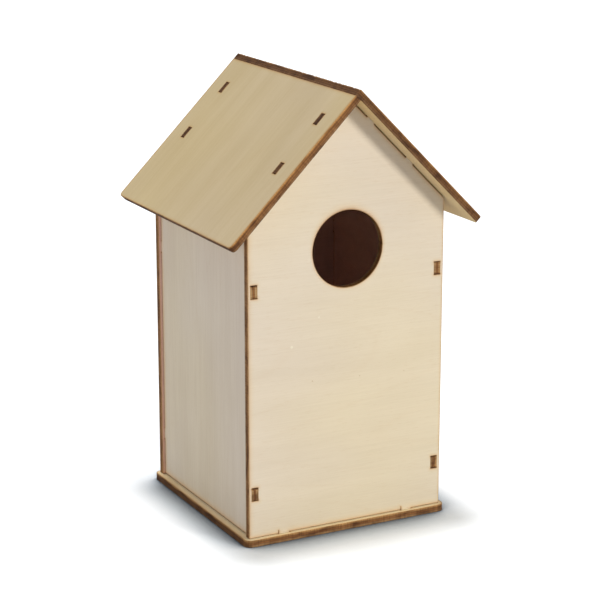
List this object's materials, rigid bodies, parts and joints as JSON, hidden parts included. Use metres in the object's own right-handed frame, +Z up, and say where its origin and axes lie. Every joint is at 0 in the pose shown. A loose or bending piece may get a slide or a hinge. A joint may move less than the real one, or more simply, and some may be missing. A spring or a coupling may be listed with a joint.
{
  "type": "birdhouse",
  "caption": "Small gabled birdhouse of laser-cut plywood panels joined by tabs in slots, with a round entrance hole in the front and a square-lapped pitched roof.",
  "frame": {"origin": "centre of the floor panel's underside, on the surface the house stands on", "axes": "+Z up along the walls, -Y out of the front wall with the entrance hole, +X to the viewer's right when the front is seen from outside, the ridge along Y"},
  "size_m": [0.1148, 0.11, 0.1861],
  "materials": {
    "wall_plywood": "pale three-ply plywood, sanded and unfinished, laser-cut edges burnt brown",
    "side_plywood": "pale three-ply plywood, sanded and unfinished, laser-cut edges burnt brown",
    "floor_plywood": "pale three-ply plywood, sanded and unfinished, laser-cut edges burnt brown",
    "roof_plywood": "pale three-ply plywood, sanded and unfinished, laser-cut edges burnt brown"
  },
  "bodies": {
    "root": {"floor_panel": "floor_plywood", "front_wall": "wall_plywood", "rear_wall": "wall_plywood", "left_side": "side_plywood", "right_side": "side_plywood", "left_roof": "roof_plywood", "right_roof": "roof_plywood"}
  },
  "joints": []
}
